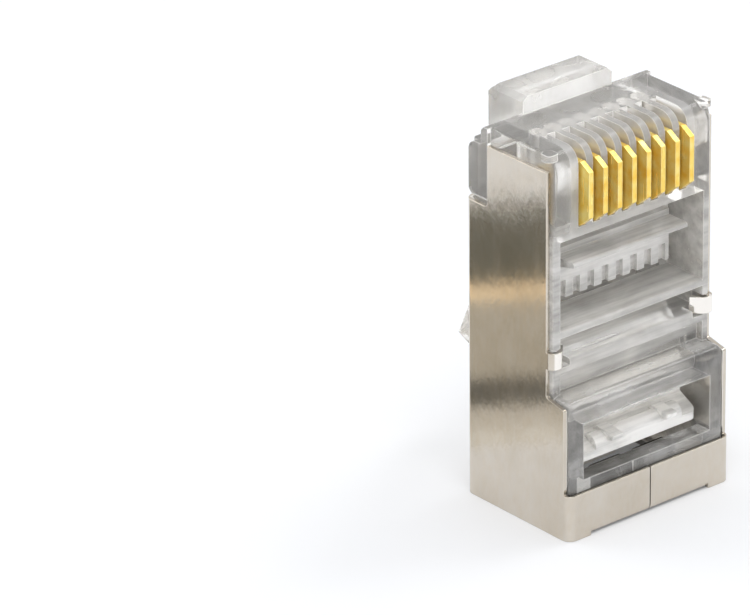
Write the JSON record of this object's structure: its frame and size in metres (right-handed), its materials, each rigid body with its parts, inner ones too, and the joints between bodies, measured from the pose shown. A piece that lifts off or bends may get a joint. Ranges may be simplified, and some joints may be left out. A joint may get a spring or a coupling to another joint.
{
  "type": "modular plug",
  "caption": "Shielded modular plug with a clear housing, a folded nickel shield, gold-plated blades, a locking latch, a conductor clamp and a strain relief.",
  "frame": {"origin": "centre of the shield's rim at the cable entry, on the plane that the rim stands on", "axes": "+Z from the cable entry to the nose, -Y the contact side, +Y the latch side, +X across the row of contacts"},
  "size_m": [0.0116, 0.014, 0.023],
  "materials": {
    "clear_plastic": "moulded clear polycarbonate, polished, with milky dividers",
    "nickel_plate": "nickel-plated sheet, rolled, slightly blotchy",
    "gold_plate": "gold-plated stamped blade"
  },
  "bodies": {
    "moulding": {"housing": "clear_plastic", "shield": "nickel_plate"},
    "latch": {"latch": "clear_plastic"},
    "conductor_clamp": {"conductor_clamp": "clear_plastic"},
    "strain_relief": {"strain_relief": "clear_plastic"},
    "contact_1": {"contact_1": "gold_plate"},
    "contact_2": {"contact_2": "gold_plate"},
    "contact_3": {"contact_3": "gold_plate"},
    "contact_4": {"contact_4": "gold_plate"},
    "contact_5": {"contact_5": "gold_plate"},
    "contact_6": {"contact_6": "gold_plate"},
    "contact_7": {"contact_7": "gold_plate"},
    "contact_8": {"contact_8": "gold_plate"}
  },
  "joints": [
    {"name": "latch_press", "type": "hinge", "parent": "moulding", "child": "latch", "pos_m": [0, 0.00472, 0.01968], "axis": [-1, 0, 0], "range_deg": [0, 16], "stiffness_Nm_per_rad": 0.02},
    {"name": "conductor_clamp_press", "type": "hinge", "parent": "moulding", "child": "conductor_clamp", "pos_m": [0, -0.00018, 0.01531], "axis": [1, 0, 0], "range_deg": [0, 12]},
    {"name": "strain_relief_press", "type": "hinge", "parent": "moulding", "child": "strain_relief", "pos_m": [0, -0.00161, 0.00626], "axis": [1, 0, 0], "range_deg": [0, 35]},
    {"name": "contact_1_crimp", "type": "slide", "parent": "moulding", "child": "contact_1", "axis": [0, 1, 0], "range_m": [0, 0.0011]},
    {"name": "contact_2_crimp", "type": "slide", "parent": "moulding", "child": "contact_2", "axis": [0, 1, 0], "range_m": [0, 0.0011]},
    {"name": "contact_3_crimp", "type": "slide", "parent": "moulding", "child": "contact_3", "axis": [0, 1, 0], "range_m": [0, 0.0011]},
    {"name": "contact_4_crimp", "type": "slide", "parent": "moulding", "child": "contact_4", "axis": [0, 1, 0], "range_m": [0, 0.0011]},
    {"name": "contact_5_crimp", "type": "slide", "parent": "moulding", "child": "contact_5", "axis": [0, 1, 0], "range_m": [0, 0.0011]},
    {"name": "contact_6_crimp", "type": "slide", "parent": "moulding", "child": "contact_6", "axis": [0, 1, 0], "range_m": [0, 0.0011]},
    {"name": "contact_7_crimp", "type": "slide", "parent": "moulding", "child": "contact_7", "axis": [0, 1, 0], "range_m": [0, 0.0011]},
    {"name": "contact_8_crimp", "type": "slide", "parent": "moulding", "child": "contact_8", "axis": [0, 1, 0], "range_m": [0, 0.0011]}
  ],
  "couplings": [
    {"joint": "contact_2_crimp", "follows": "contact_1_crimp", "ratio": 1},
    {"joint": "contact_3_crimp", "follows": "contact_1_crimp", "ratio": 1},
    {"joint": "contact_4_crimp", "follows": "contact_1_crimp", "ratio": 1},
    {"joint": "contact_5_crimp", "follows": "contact_1_crimp", "ratio": 1},
    {"joint": "contact_6_crimp", "follows": "contact_1_crimp", "ratio": 1},
    {"joint": "contact_7_crimp", "follows": "contact_1_crimp", "ratio": 1},
    {"joint": "contact_8_crimp", "follows": "contact_1_crimp", "ratio": 1}
  ]
}
